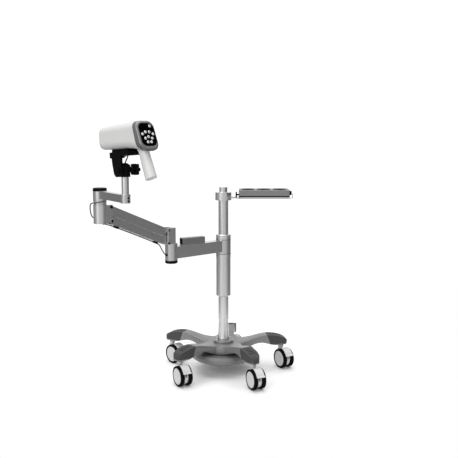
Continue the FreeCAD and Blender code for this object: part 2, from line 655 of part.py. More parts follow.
def camera():
    seam = (-98.0, 91.2)
    ahead = slanted_zone(seam[0], seam[1], SEAM_SLANT, True)
    outer = head_loft(0.0).common(ahead).fuse(handle_loft(0.0).cut(head_loft(0.0)))
    inner = head_loft(SHELL_WALL).fuse(handle_loft(SHELL_WALL))
    window_hole = long_drum(WINDOW_RADIUS, 67, 97, 0, 98)
    foot_hole = drum(3.3, PLATE_TOP - 2, PLATE_TOP + 10)
    boss = drum(9.0, PLATE_TOP + 1, PLATE_TOP + 12)
    shell = outer.cut(inner).fuse(boss).cut(window_hole).cut(foot_hole)
    left = shell.common(block(-300, 300, 0, 200, -200, 400))
    right = shell.common(block(-300, 300, -200, 0, -200, 400))
    save("camera_shell_left", at(left, TILT, HEAD_HEADING, HEAD_PITCH))
    save("camera_shell_right", at(right, TILT, HEAD_HEADING, HEAD_PITCH))

    behind = slanted_zone(seam[0], seam[1], SEAM_SLANT, False)
    face_x, face_z = PANEL_CENTRE
    bezel = head_loft(0.0).common(behind)
    bezel = bezel.common(slanted_zone(face_x + 1.0, face_z, PANEL_SLANT, True))
    hollow = head_loft(6.0).common(slanted_zone(face_x + 8.0, face_z, PANEL_SLANT, True))
    bezel = bezel.cut(hollow)

    def on_panel(shape):
        """From the panel's own frame, +X outward and +Z up its face, to the head's frame."""
        return at(shape, V(face_x, 0, face_z), 180.0, PANEL_SLANT)

    panel_outline = Part.Face(round_rect(PANEL_WIDTH, PANEL_HEIGHT, PANEL_CORNER)).extrude(V(4.0, 0, 0))
    panel_outline.translate(V(-4.0, 0, 0))
    panel_outline.translate(V(0, 0, 1.0))
    bezel = bezel.cut(on_panel(panel_outline))
    well = Part.Face(round_rect(PANEL_WIDTH - 2.6, PANEL_HEIGHT - 2.6, PANEL_CORNER - 1.3))
    well = well.extrude(V(30, 0, 0))
    well.translate(V(-20, 0, 1.0))
    bezel = bezel.cut(on_panel(well))
    save("panel_bezel", at(bezel, TILT, HEAD_HEADING, HEAD_PITCH))

    keys = [(14.0, 26.8), (-19.2, 2.5), (-7.0, 8.7), (7.0, 8.7), (19.2, 2.5), (0.0, -6.0),
            (-12.4, -10.8), (12.4, -10.8), (-6.0, -22.0), (6.0, -22.0)]
    panel = panel_outline
    for y, z in keys:
        panel = panel.cut(long_drum(KEY_RADIUS + KEY_CLEAR, -10, 10, y, z))
    save("key_panel", at(on_panel(panel), TILT, HEAD_HEADING, HEAD_PITCH))
    for n, (y, z) in enumerate(keys):
        key = long_drum(KEY_RADIUS, -6.0, 1.2, y, z)
        name = "power_key" if n == 0 else "key_%d" % n
        save(name, at(on_panel(key), TILT, HEAD_HEADING, HEAD_PITCH))

    module = block(-55, 15, -24, 24, 76, 122).fuse(long_drum(22.0, 15, 70, 0, 98))
    module = module.fuse(block(-50, 10, -15, 15, PLATE_TOP + 12, 77))
    save("camera_module", at(module, TILT, HEAD_HEADING, HEAD_PITCH))
    window = long_drum(WINDOW_RADIUS - FIT, 77.5, 80.0, 0, 98)
    save("lens_window", at(window, TILT, HEAD_HEADING, HEAD_PITCH))


# ---- accessory tray ------------------------------------------------------------------------
def tray():
    front = TRAY_MIDDLE - TRAY_DEPTH / 2
    back = TRAY_MIDDLE + TRAY_DEPTH / 2
    middle = (TRAY_LEFT + TRAY_RIGHT) / 2
    body = block(TRAY_LEFT, TRAY_RIGHT, front, back, TRAY_LOW, TRAY_HIGH)
    body = body.makeFillet(3.0, [e for e in body.Edges if abs(e.BoundBox.ZLength - 26) < 1])
    for n in (-1, 0, 1):
        x = middle - 1 + n * CUP_PITCH
        body = body.cut(drum(CUP_RADIUS, TRAY_LOW - 1, TRAY_HIGH + 1, x, TRAY_MIDDLE))
    save("tray_body", body)

    collar = ring(31.0, TUBE_RADIUS + FIT, TUBE_TOP - 30, TUBE_TOP - GAP)
    neck = block(26, TRAY_LEFT + 4, -8, 8, 673, 680)
    plate = block(TRAY_LEFT - 7, TRAY_RIGHT + 3, front + 16, back - 16, 675, 679)
    seat = block(TRAY_LEFT + 6, TRAY_RIGHT - 8, front + 10, back - 10, 679, TRAY_LOW)
    hook = block(TRAY_RIGHT + 2, TRAY_RIGHT + 16, -24, -16, 675, 678)
    hook = hook.fuse(block(TRAY_RIGHT + 13, TRAY_RIGHT + 16, -24, -16, 675, 694))
    bracket = collar.fuse(neck).fuse(plate).fuse(seat).fuse(hook)
    save("tray_bracket", bracket)

    knob = long_drum(11.0, TRAY_LEFT - 13, TRAY_LEFT - 8, TRAY_MIDDLE - 26, 691)
    knob = knob.fuse(long_drum(3.0, TRAY_LEFT - 9, TRAY_LEFT, TRAY_MIDDLE - 26, 691))
    end = long_drum(8.0, TRAY_RIGHT, TRAY_RIGHT + 8, TRAY_MIDDLE - 26, 697)
    save("tray_end_fittings", Part.makeCompound([knob, end]))


base()
casters()
carriage()
swing_arm()
elbow_bracket()
spring_arm()
arm_cable()
wrist()
wrist_cable()
yoke()
camera_lead()
camera()
tray()
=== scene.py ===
"""Looks for the pistol-grip examination camera and its wheeled stand.

Every length is written in millimetres, in the CAD model's own frame, and becomes metres when a
mesh is made. The driving dimensions repeat the CAD model's, apart from the last group.
"""
import math

import bmesh
import bpy
from mathutils import Matrix, Vector


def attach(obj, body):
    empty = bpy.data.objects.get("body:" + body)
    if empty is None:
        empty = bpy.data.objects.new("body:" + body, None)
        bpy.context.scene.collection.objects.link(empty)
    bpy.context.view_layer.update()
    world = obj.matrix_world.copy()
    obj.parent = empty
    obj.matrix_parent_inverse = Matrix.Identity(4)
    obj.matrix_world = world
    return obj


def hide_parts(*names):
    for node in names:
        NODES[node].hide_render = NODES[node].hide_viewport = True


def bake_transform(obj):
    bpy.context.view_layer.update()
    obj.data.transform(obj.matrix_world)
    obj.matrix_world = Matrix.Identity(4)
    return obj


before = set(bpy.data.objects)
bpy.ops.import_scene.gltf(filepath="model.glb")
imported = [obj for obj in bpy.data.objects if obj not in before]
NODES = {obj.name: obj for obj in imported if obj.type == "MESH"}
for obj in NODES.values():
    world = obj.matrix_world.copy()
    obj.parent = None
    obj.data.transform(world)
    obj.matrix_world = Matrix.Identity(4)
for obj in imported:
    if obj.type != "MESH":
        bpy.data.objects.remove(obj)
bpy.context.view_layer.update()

# ---- driving dimensions --------------------------------------------------------------------
MM = 0.001

# casters and base
WHEEL_DIA = 75.0
WHEEL_WIDTH = 16.0
WHEEL_INSIDE = 8.0          # from the caster's middle to a wheel's inner face
CASTER_TRAIL = 22.0         # from the swivel's axis to the axle
CASTER_CIRCLE = 231.3       # from the column to a swivel's axis
CASTER_HEADINGS = (-60.0, -60.0, -47.0, -60.0, -65.0)
CASTER_HEIGHT = 91.0
LEG_COUNT = 5
FIRST_LEG = 9.87            # the first leg's heading
HUB_TOP = 111.0
FLANGE_TOP = 119.0
FLANGE_RADIUS = 38.0

# first arm, with its collars and rail
HUB_SEAT = 461.0
HUB_CAP = 516.0
COLLAR_RADIUS = 28.3
SCREW_HEADING = 214.0
COLLAR_SCREW_HEIGHTS = (454.0, 522.0)
ARM_HEADING = 220.5
ARM_REACH = 248.0
ARM_HIGH = 513.5
JOINT_RADIUS = 22.4
RAIL_SIDE = 24.0
RAIL_LENGTH = 95.0
RAIL_HEADING = 211.0

# spring arm
ELBOW_HIGH = 521.6
PIVOT_INSET = 31.0          # from a joint's axis to the pivots beside it
PIVOT_LOW = 531.0           # the height of the link's pivot at the elbow
LINK_HEADING = 227.0
LINK_PITCH = 22.3
LINK_LENGTH = 271.0
WRIST_LOW = 627.5
CABLE_RADIUS = 2.0
CABLE_DROP = 11.9           # the arm's cable below the link's pivots

# extension arm, post and head
EXTENSION_HEADING = 303.0
EXTENSION_REACH = 194.0
CLAMP_SCREW_HEIGHTS = (717.0, 726.0)
TILT_HEIGHT = 811.0
HEAD_HEADING = 135.0
HEAD_PITCH = -4.0

# tray
TRAY_LEFT = 59.0
TRAY_RIGHT = 247.5
TRAY_MIDDLE = -20.0
TRAY_DEPTH = 92.0
TRAY_LOW = 683.0
CUP_RADIUS = 25.5
CUP_PITCH = 60.0

# looks only
EDGE = 0.5                  # the round on a piece's edges
BROAD_EDGE = 0.9
SEAM_GAP = 0.12             # half of the gap between the camera's two mouldings
SKIN_GRID = 1.4             # the grid that the camera's outer skin is rebuilt on
WELD = 0.00001              # in metres
MERGE = 0.000005            # in metres
FLOOR_RADIUS = 0.75         # in metres


# ---- places --------------------------------------------------------------------------------
def polar(radius, heading, z=0.0):
    """A point at a distance and a heading from the column's axis."""
    a = math.radians(heading)
    return Vector((radius * math.cos(a), radius * math.sin(a), z))


def place(origin, heading=0.0, pitch=0.0):
    """A frame with +X forward, turned to a heading and pitched up."""
    turn = Matrix.Rotation(math.radians(heading), 4, "Z")
    tip = Matrix.Rotation(math.radians(-pitch), 4, "Y")
    return Matrix.Translation(origin) @ turn @ tip


ELBOW = polar(ARM_REACH, ARM_HEADING)
SPAN = LINK_LENGTH * math.cos(math.radians(LINK_PITCH))
WRIST = ELBOW + polar(2 * PIVOT_INSET + SPAN, LINK_HEADING)
POST = WRIST + polar(EXTENSION_REACH, EXTENSION_HEADING)
HEAD = place(POST + Vector((0, 0, TILT_HEIGHT)), HEAD_HEADING, HEAD_PITCH)
LINK = place(ELBOW + polar(PIVOT_INSET, LINK_HEADING, PIVOT_LOW), LINK_HEADING, LINK_PITCH)


# ---- materials -----------------------------------------------------------------------------
class Paint:
    """A material being built: a Principled shader with helpers for the nodes that feed it."""

    def __init__(self, name):
        self.material = bpy.data.materials.new(name)
        self.material.use_nodes = True
        self.tree = self.material.node_tree
        self.shader = self.tree.nodes["Principled BSDF"]
        self.place = self.add("ShaderNodeTexCoord").outputs["Object"]

    def add(self, kind, **values):
        """A new node, with these settings."""
        node = self.tree.nodes.new(kind)
        for key, value in values.items():
            setattr(node, key, value)
        return node

    def link(self, a, b):
        self.tree.links.new(a, b)

    def stretched(self, scale):
        """The object's own coordinates, scaled differently along each axis."""
        mapping = self.add("ShaderNodeMapping")
        mapping.inputs["Scale"].default_value = scale
        self.link(self.place, mapping.inputs["Vector"])
        return mapping.outputs["Vector"]

    def noise(self, scale, detail=3.0, rough=0.5, stretch=(1, 1, 1)):
        """A noise value in the object's own coordinates."""
        node = self.add("ShaderNodeTexNoise")
        node.inputs["Scale"].default_value = scale
        node.inputs["Detail"].default_value = detail
        node.inputs["Roughness"].default_value = rough
        self.link(self.stretched(stretch), node.inputs["Vector"])
        return node.outputs["Fac"]

    def spread(self, value, low, high):
        """A 0 to 1 value mapped to a range."""
        node = self.add("ShaderNodeMapRange")
        node.inputs["To Min"].default_value = low
        node.inputs["To Max"].default_value = high
        self.link(value, node.inputs["Value"])
        return node.outputs["Result"]

    def mix(self, fac, a, b):
        """Two colours mixed: each is a shade, an RGB tuple or a socket."""
        node = self.add("ShaderNodeMix", data_type="RGBA")
        sockets = [s for s in node.inputs if s.enabled]
        for socket, value in zip(sockets, (fac, a, b)):
            if isinstance(value, (int, float)) and socket.type == "RGBA":
                socket.default_value = (value, value, value, 1)
            elif isinstance(value, tuple):
                socket.default_value = (*value, 1)
            elif isinstance(value, (int, float)):
                socket.default_value = value
            else:
                self.link(value, socket)
        return next(s for s in node.outputs if s.enabled)

    def colour(self, value):
        if isinstance(value, tuple):
            self.shader.inputs["Base Color"].default_value = (*value, 1)
        else:
            self.link(value, self.shader.inputs["Base Color"])

    def rough(self, value):
        if isinstance(value, (int, float)):
            self.shader.inputs["Roughness"].default_value = value
        else:
            self.link(value, self.shader.inputs["Roughness"])

    def metal(self, value):
        self.shader.inputs["Metallic"].default_value = value

    def bump(self, height, distance, strength):
        """A fine relief from a height value; the distance is in metres."""
        node = self.add("ShaderNodeBump")
        node.inputs["Distance"].default_value = distance
        node.inputs["Strength"].default_value = strength
        self.link(height, node.inputs["Height"])
        self.link(node.outputs["Normal"], self.shader.inputs["Normal"])


def satin_metal(name, shade, rough, along=(1, 1, 1), flecks=0.03):
    """Anodised or satin metal with faint drawing lines along one direction."""
    m = Paint(name)
    m.metal(1.0)
    lines = m.noise(90.0, 4.0, 0.6, along)
    cloud = m.noise(9.0, 3.0, 0.5)
    base = m.mix(m.spread(lines, 0.0, flecks * 4), shade, shade * 0.72)
    m.colour(m.mix(m.spread(cloud, 0.0, 0.25), base, shade * 1.08))
    m.rough(m.spread(lines, rough - 0.05, rough + 0.09))
    m.bump(lines, 0.00004, 0.25)
    return m.material


def powder_coat(name, shade, rough, metal=0.0):
    """Paint with a fine orange-peel skin, a faintly cloudy tone and pale specks."""
    m = Paint(name)
    m.metal(metal)
    peel = m.noise(420.0, 2.0, 0.5)
    cloud = m.noise(7.0, 3.0, 0.55)
    speck = m.noise(1500.0, 1.0, 0.4)
    base = m.mix(m.spread(cloud, 0.0, 0.5), shade * 0.94, shade * 1.05)
    m.colour(m.mix(m.spread(speck, 0.0, 0.12), base, shade * 1.35))
    m.rough(m.spread(cloud, rough - 0.04, rough + 0.06))
    m.bump(peel, 0.00012, 0.25)
    m.shader.inputs["Coat Weight"].default_value = 0.15
    m.shader.inputs["Coat Roughness"].default_value = 0.3
    return m.material


def moulded(name, shade, rough, grain=900.0, depth=0.00008, tint=(1.0, 1.0, 1.0), shine=0.5):
    """Injection-moulded plastic with a fine spark-eroded grain."""
    m = Paint(name)
    m.shader.inputs["Specular IOR Level"].default_value = shine
    skin = m.noise(grain, 2.0, 0.6)
    cloud = m.noise(11.0, 2.0, 0.5)
    low = tuple(shade * 0.95 * t for t in tint)
    high = tuple(shade * 1.04 * t for t in tint)
    m.colour(m.mix(m.spread(cloud, 0.0, 1.0), low, high))
    m.rough(m.spread(skin, rough - 0.05, rough + 0.06))
    m.bump(skin, depth, 0.3)
    return m.material


def rubber(name, shade, rough=0.62, shine=0.25):
    """Matt rubber with a little dust in its skin."""
    m = Paint(name)
    m.shader.inputs["Specular IOR Level"].default_value = shine
    grit = m.noise(600.0, 3.0, 0.7)
    dust = m.noise(40.0, 4.0, 0.6)
    m.colour(m.mix(m.spread(dust, 0.0, 0.6), shade, shade * 1.8))
    m.rough(m.spread(grit, rough - 0.08, rough + 0.1))
    m.bump(grit, 0.00015, 0.35)
    return m.material


def gloss(name, shade, rough=0.08, shine=0.5):
    """Clear-topped acrylic, with very faint wipe marks in its roughness."""
    m = Paint(name)
    wipes = m.noise(30.0, 4.0, 0.6, (1, 6, 1))
    m.colour(m.mix(m.spread(wipes, 0.0, 1.0), shade, shade * 1.3))
    m.rough(m.spread(wipes, rough - 0.03, rough + 0.05))
    m.shader.inputs["Specular IOR Level"].default_value = shine
    m.shader.inputs["Coat Weight"].default_value = shine
    m.shader.inputs["Coat Roughness"].default_value = 0.04
    return m.material


def clear_glass(name):
    """Clear glass with a faint smear in its tint and roughness."""
    m = Paint(name)
    smear = m.noise(60.0, 3.0, 0.5)
    m.colour(m.mix(m.spread(smear, 0.0, 0.4), (0.93, 0.95, 0.96), (0.80, 0.84, 0.88)))
    m.rough(m.spread(smear, 0.02, 0.06))
    m.shader.inputs["Transmission Weight"].default_value = 1.0
    m.shader.inputs["IOR"].default_value = 1.5
    return m.material


ALUMINIUM = satin_metal("satin_aluminium", 0.82, 0.30, (30, 30, 1))
ARM_METAL = satin_metal("arm_aluminium", 0.72, 0.30, (6, 6, 30))
DARK_METAL = satin_metal("grey_anodised", 0.34, 0.36, (6, 6, 30))
STEEL = satin_metal("bright_steel", 0.78, 0.20, (20, 20, 20))
BASE_PAINT = powder_coat("base_paint", 0.21, 0.36, 0.35)
# a darker, duller copy of the base paint on the counterweight disc: painted shade for the disc lying
# under the hub
SHADED_DISC_PAINT = powder_coat("shaded_disc_paint", 0.17, 0.42, 0.2)
PAD_PLASTIC = moulded("pad_plastic", 0.050, 0.5, 700.0, 0.00015, shine=0.3)
WHITE_SHELL = moulded("white_shell", 0.78, 0.30, 1400.0, 0.00003, (1.0, 1.0, 0.992))
BEZEL_GREY = powder_coat("bezel_grey", 0.24, 0.32, 0.45)
PANEL_BLACK = gloss("panel_black", 0.001, 0.12, 0.01)
MARK_INK = moulded("mark_ink", 0.10, 0.5, 600.0, 0.00001)
KEY_WHITE = moulded("key_white", 0.88, 0.42, 1000.0, 0.00003)
BLACK_PLASTIC = moulded("black_plastic", 0.006, 0.42, 800.0, 0.0001, shine=0.04)
BLACK_METAL = moulded("black_coat", 0.006, 0.40, 500.0, 0.00012, shine=0.03)
CASTER_GREY = moulded("caster_grey", 0.63, 0.38, 900.0, 0.00006)
TYRE_RUBBER = rubber("tyre_rubber", 0.004, 0.5, 0.02)
CABLE_RUBBER = rubber("cable_jacket", 0.10, 0.55)
GLASS = clear_glass("window_glass")
MODULE_BLACK = satin_metal("module_black", 0.05, 0.4, (10, 10, 10))
# pale plastic for the caster hubs; the same pale material paints the highlight strip on the elbow
# bracket
PALE_PLASTIC_AND_HIGHLIGHT = moulded("pale_plastic_and_highlight", 0.51, 0.34, 900.0, 0.00005)
LED_LENS = moulded("led_lens", 0.85, 0.12, 400.0, 0.00001)
LENS_COATING = gloss("lens_coating", 0.006, 0.03, 0.6)
LINER_RUBBER = rubber("liner_rubber", 0.008, 0.6, 0.1)

NODE_PAINT = {
    "base_casting": BASE_PAINT, "counterweight_disc": SHADED_DISC_PAINT, "leg_pads": PAD_PLASTIC,
    "flange_bolts": STEEL, "column_tube": ALUMINIUM, "height_sleeve": ALUMINIUM,
    "lock_collars": ALUMINIUM, "swing_arm": ARM_METAL, "elbow_cap": BLACK_PLASTIC,
    "accessory_rail": DARK_METAL, "elbow_bracket": ALUMINIUM, "spring_arm_cover": ARM_METAL,
    "upper_pivot_pins": BLACK_METAL, "lower_link": ARM_METAL, "gas_spring": STEEL,
    "cable_clips": BLACK_PLASTIC, "arm_cable": CABLE_RUBBER, "wrist_bracket": ALUMINIUM,
    "wrist_cable": CABLE_RUBBER, "extension_arm": ARM_METAL, "wrist_cap": BLACK_PLASTIC,
    "post": ALUMINIUM, "yoke_barrel": BLACK_METAL, "yoke_bracket": BLACK_METAL,
    "camera_lead": CABLE_RUBBER, "clamp_knob": BLACK_PLASTIC, "camera_shell_left": WHITE_SHELL,
    "camera_shell_right": WHITE_SHELL, "panel_bezel": BEZEL_GREY, "key_panel": PANEL_BLACK,
    "camera_module": MODULE_BLACK, "lens_window": GLASS, "power_key": KEY_WHITE,
    "tray_bracket": ALUMINIUM, "tray_body": DARK_METAL, "tray_end_fittings": BLACK_PLASTIC,
}
BROAD_EDGED = ("swing_arm", "elbow_bracket", "wrist_bracket", "extension_arm", "accessory_rail",
               "tray_body", "leg_pads")
for n in range(1, 10):
    NODE_PAINT["key_%d" % n] = KEY_WHITE
for n in range(1, LEG_COUNT + 1):
    NODE_PAINT["caster_%d_housing" % n] = CASTER_GREY
    NODE_PAINT["caster_%d_pedal" % n] = CASTER_GREY
    NODE_PAINT["caster_%d_wheels" % n] = TYRE_RUBBER


# ---- mesh helpers --------------------------------------------------------------------------
def lathe(profile, steps=48, closed=False):
    """Faces from an outline in radius, Z turned about Z. A closed outline makes a ring."""
    verts = []
    for k in range(steps):
        a = 2 * math.pi * k / steps
        verts += [(r * math.cos(a), r * math.sin(a), z) for r, z in profile]
    size = len(profile)
    count = size if closed else size - 1
    faces = []
    for k in range(steps):
        one = k * size
        two = (k + 1) % steps * size
        for i in range(count):
            j = (i + 1) % size
            faces.append((one + i, two + i, two + j, one + j))
    return verts, faces


def loft(rings, ends=True):
    """Faces between closed rings of the same number of points."""
    size = len(rings[0])
    verts = [tuple(p) for ring in rings for p in ring]
    faces = []
    for k in range(len(rings) - 1):
        for i in range(size):
            j = (i + 1) % size
            faces.append((k * size + i, k * size + j, (k + 1) * size + j, (k + 1) * size + i))
    if ends:
        faces.append(tuple(reversed(range(size))))
        last = (len(rings) - 1) * size
        faces.append(tuple(range(last, last + size)))
    return verts, faces


def prism(outline, y0, y1):
    """An outline in X, Z made thick along Y."""
    return loft([[(x, y, z) for x, z in outline] for y in (y0, y1)])


def moved(part, where):
    """A part carried into another frame."""
    verts, faces = part
    return [tuple(where @ Vector(v)) for v in verts], faces


def along_y(part):
    """A part turned about Z, laid so that its axis runs along +Y."""
    return moved(part, Matrix.Rotation(math.radians(-90), 4, "X"))


def new_object(name, data):
    """An object in the scene."""
    item = bpy.data.objects.new(name, data)
    bpy.context.scene.collection.objects.link(item)
    return item


def finish_mesh(mesh, paint, sharp):
    """Smooth shading broken at edges sharper than an angle, and a material."""
    mesh.shade_smooth()
    mesh.set_sharp_from_angle(angle=math.radians(sharp))
    mesh.materials.append(paint)


def make(name, parts, where, paint, body, sharp=35.0):
    """A piece from one or more parts, in millimetres in the frame `where`."""
    mesh = bpy.data.meshes.new(name)
    verts = []
    faces = []
    for part_verts, part_faces in parts:
        base = len(verts)
        verts += [(where @ Vector(v)) * MM for v in part_verts]
        faces += [tuple(base + i for i in face) for face in part_faces]
    mesh.from_pydata(verts, [], faces)
    work = bmesh.new()
    work.from_mesh(mesh)
    bmesh.ops.remove_doubles(work, verts=work.verts, dist=MERGE)
    bmesh.ops.recalc_face_normals(work, faces=work.faces)
    work.to_mesh(mesh)
    work.free()
    finish_mesh(mesh, paint, sharp)
    piece = new_object(name, mesh)
    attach(piece, body)
    return piece


def add_bevel(piece, width):
    """A small round on every edge of a piece that is sharper than 35 degrees."""
    bevel = piece.modifiers.new("edges", "BEVEL")
    bevel.width = width * MM
    bevel.segments = 2
    bevel.limit_method = "ANGLE"
    bevel.angle_limit = math.radians(35)
    bevel.harden_normals = True
    bevel.use_clamp_overlap = True


def dress(node):
    """A CAD node's material, with its edges softened by a small bevel.

    Flats are kept flat, except on the casting, whose facets blend into one soft surface.
    """
    cast = node == "base_casting"
    piece = NODES[node]
    piece.data.materials.clear()
    piece.data.materials.append(NODE_PAINT[node])
    piece.data.shade_smooth()
    weld = piece.modifiers.new("weld", "WELD")
    weld.merge_threshold = WELD
    add_bevel(piece, BROAD_EDGE if node in BROAD_EDGED else EDGE)
    split = piece.modifiers.new("sharp", "EDGE_SPLIT")
    split.split_angle = math.radians(60 if cast else 34)
    if not cast:
        flat = piece.modifiers.new("flat", "WEIGHTED_NORMAL")
        flat.weight = 80
        flat.keep_sharp = True


# ---- camera head ---------------------------------------------------------------------------
SEAM_X, SEAM_Z, SEAM_SLANT = -98.0, 91.2, 13.6
PANEL_X, PANEL_Z, PANEL_SLANT = -119.0, 97.0, 18.0
PANEL_WIDTH, PANEL_HEIGHT, PANEL_CORNER = 55.5, 69.0, 18.0
KEY_SPOTS = ((14.0, 26.8), (-19.2, 2.5), (-7.0, 8.7), (7.0, 8.7), (19.2, 2.5), (0.0, -6.0),
             (-12.4, -10.8), (12.4, -10.8), (-6.0, -22.0), (6.0, -22.0))
PANEL_MIDDLE = PANEL_Z + 1.0
WINDOW_Z, WINDOW_RADIUS = 98.0, 28.0
NOSE_X = 81.0
HEAD_SECTIONS = (
    # x, width, low, high, corner radius
    (-150.0, 68.0, 46.0, 139.5, 22.0),
    (-60.0, 68.0, 62.0, 139.0, 22.0),
    (35.0, 67.0, 62.0, 135.5, 21.0),
    (69.0, 65.0, 63.0, 133.0, 20.0),
    (81.0, 59.6, 68.0, 128.0, 19.0),
)


def round_rect(width, height, radius, steps=10):
    """A rounded rectangle's points about the origin, anticlockwise from the right side."""
    points = []
    for k, (sy, sz) in enumerate(((1, 1), (-1, 1), (-1, -1), (1, -1))):
        cy = sy * (width / 2 - radius)
        cz = sz * (height / 2 - radius)
        for n in range(steps):
            a = math.radians(90 * k + 90 * n / (steps - 1))
            points.append((cy + radius * math.cos(a), cz + radius * math.sin(a)))
    return points


def between(a, b, t):
    """A value part of the way from a to b."""
    return a + (b - a) * t


def head_section(x):
    """The body's width, low, high and corner radius at a place along it."""
    sections = HEAD_SECTIONS
    for one, two in zip(sections, sections[1:]):
        if x <= two[0]:
            t = (x - one[0]) / (two[0] - one[0])
            return tuple(between(a, b, t) for a, b in zip(one[1:], two[1:]))
    return sections[-1][1:]


def head_outline(x, inset=0.0):
    """The body's outline in Y, Z at a place along it, drawn in by an inset."""
    width, low, high, radius = head_section(x)
    middle = (low + high) / 2
    outline = round_rect(width - 2 * inset, high - low - 2 * inset, radius - inset)
    return [(y, z + middle) for y, z in outline]


def plane_x(z, x_mid, z_mid, slant):
    """The X of a plane that leans forward by a slant, at a height."""
    return x_mid + (z - z_mid) * math.tan(math.radians(slant))


def seam_x(z):
    """The joint between the white mouldings and the grey bezel."""
    return plane_x(z, SEAM_X, SEAM_Z, SEAM_SLANT)


def face_x(z):
    """The key panel's face."""
    return plane_x(z, PANEL_X, PANEL_Z, PANEL_SLANT)


PANEL = place(Vector((PANEL_X, 0, PANEL_Z)), 180.0, PANEL_SLANT)


def bezel():
    """The ring round the key panel: a flat side, a wide rounded corner and a step to the panel."""
    corner = 6.3
    rings = []

    def ring_at(depth_share, inset, beyond=0.0):
        """The bezel's outline part of the way from the seam to the panel's face."""
        points = []
        for y, z in head_outline(between(SEAM_X, PANEL_X, depth_share), inset):
            front = seam_x(z)
            back = face_x(z) + 1.0
            points.append((between(front, back, depth_share) + beyond, y, z))
        return points

    rings.append(ring_at(0.0, 2.2, 1.5))
    rings.append(ring_at(0.0, 0.5, 1.5))
    rings.append(ring_at(0.0, 0.45, -0.3))
    rings.append(ring_at(0.0, 0.0, -0.8))
    rings.append(ring_at(0.3, 0.0))
    for n in range(9):
        a = math.radians(90 * n / 8)
        rings.append(ring_at(1.0, corner * (1 - math.cos(a)), corner * (1 - math.sin(a))))
    hole = round_rect(PANEL_WIDTH, PANEL_HEIGHT * 0.965, PANEL_CORNER)
    for grow, deep in ((0.4, 0.0), (0.1, 0.3), (0.05, 3.0), (-2.0, 3.0)):
        ring = []
        for y, z in hole:
            wide = 1 + 2 * grow / PANEL_WIDTH
            up = PANEL_MIDDLE + z * wide
            ring.append((face_x(up) + 1.0 + deep, y * wide, up))
        rings.append(ring)
    piece = make("bezel_ring", [loft(rings, ends=False)], HEAD, BEZEL_GREY, "head", 50)
    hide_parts("panel_bezel")


HANDLE = place(Vector((-97.5, 0, 45)), 0.0, -18.6)
# depth along the grip, then half of its length and half of its width there
HANDLE_STATIONS = ((-40, 19.0, 15.0), (-15, 18.2, 14.6), (0, 18.0, 14.5), (22, 18.4, 14.8),
                   (45, 19.0, 15.2), (70, 19.8, 15.8), (79, 20.0, 16.0), (79.4, 19.6, 15.6))


def body_rings():
    """Rings from behind the seam to the rounded front end."""
    rings = []
    x = -135.0
    while x < 66:
        rings.append([(x, y, z) for y, z in head_outline(x)])
        x += 6.0
    for n in range(7):
        a = math.radians(90 * n / 6)
        x = NOSE_X - 12.0 + 12.0 * math.sin(a)
        inset = 4.0 * (1 - math.cos(a))
        rings.append([(x, y, z) for y, z in head_outline(68.0, inset)])
    return rings


def handle_rings():
    """Rings down the grip, from inside the body to its flat end."""
    rings = []
    for depth, long_half, wide_half in HANDLE_STATIONS:
        ring = []
        for n in range(48):
            a = 2 * math.pi * n / 48
            spot = HANDLE @ Vector((long_half * math.cos(a), wide_half * math.sin(a), -depth))
            ring.append(tuple(spot))
        rings.append(ring)
    return rings


def closed_mesh(parts):
    """A working mesh from closed parts, in millimetres."""
    work = bmesh.new()
    for verts, faces in parts:
        made = [work.verts.new(v) for v in verts]
        for face in faces:
            work.faces.new([made[i] for i in face])
    bmesh.ops.recalc_face_normals(work, faces=work.faces)
    return work


def remeshed(work, voxel):
    """The working mesh's outer skin, rebuilt as an even grid."""
    mesh = bpy.data.meshes.new("skin")
    work.to_mesh(mesh)
    work.free()
    holder = new_object("skin", mesh)
    modifier = holder.modifiers.new("skin", "REMESH")
    modifier.mode = "VOXEL"
    modifier.voxel_size = voxel
    graph = bpy.context.evaluated_depsgraph_get()
    result = bmesh.new()
    result.from_mesh(holder.evaluated_get(graph).to_mesh())
    bpy.data.objects.remove(holder)
    return result


def cut_away(work, point, normal):
    """Removes what lies beyond a plane and closes the cut."""
    geometry = work.verts[:] + work.edges[:] + work.faces[:]
    result = bmesh.ops.bisect_plane(work, geom=geometry, plane_co=point, plane_no=normal,
                                    clear_outer=True, dist=0.001)
    edges = [e for e in result["geom_cut"] if isinstance(e, bmesh.types.BMEdge)]
    bmesh.ops.edgeloop_fill(work, edges=edges)


def cut_by(mesh, cutters):
    """A mesh with closed cutters taken out of it."""
    holder = new_object("holder", mesh)
    tool_mesh = bpy.data.meshes.new("cutter")
    work = closed_mesh(cutters)
    work.to_mesh(tool_mesh)
    work.free()
    tool = new_object("cutter", tool_mesh)
    modifier = holder.modifiers.new("cut", "BOOLEAN")
    modifier.operation = "DIFFERENCE"
    modifier.solver = "EXACT"
    modifier.object = tool
    graph = bpy.context.evaluated_depsgraph_get()
    result = bpy.data.meshes.new_from_object(holder.evaluated_get(graph))
    bpy.data.objects.remove(holder)
    bpy.data.objects.remove(tool)
    return result


def along_x(part):
    """A part turned about Z, laid so that its axis runs along +X."""
    return moved(part, Matrix.Rotation(math.radians(90), 4, "Y"))


def disc(radius, x0, x1, steps=64):
    """A closed cylinder along X."""
    return along_x(lathe([(0, x0), (radius, x0), (radius, x1), (0, x1)], steps))


def eased(work, verts, times):
    """Draws vertices towards their neighbours, a number of times."""
    for step in range(times):
        bmesh.ops.smooth_vert(work, verts=verts, factor=0.5, use_axis_x=True,
                              use_axis_y=True, use_axis_z=True)


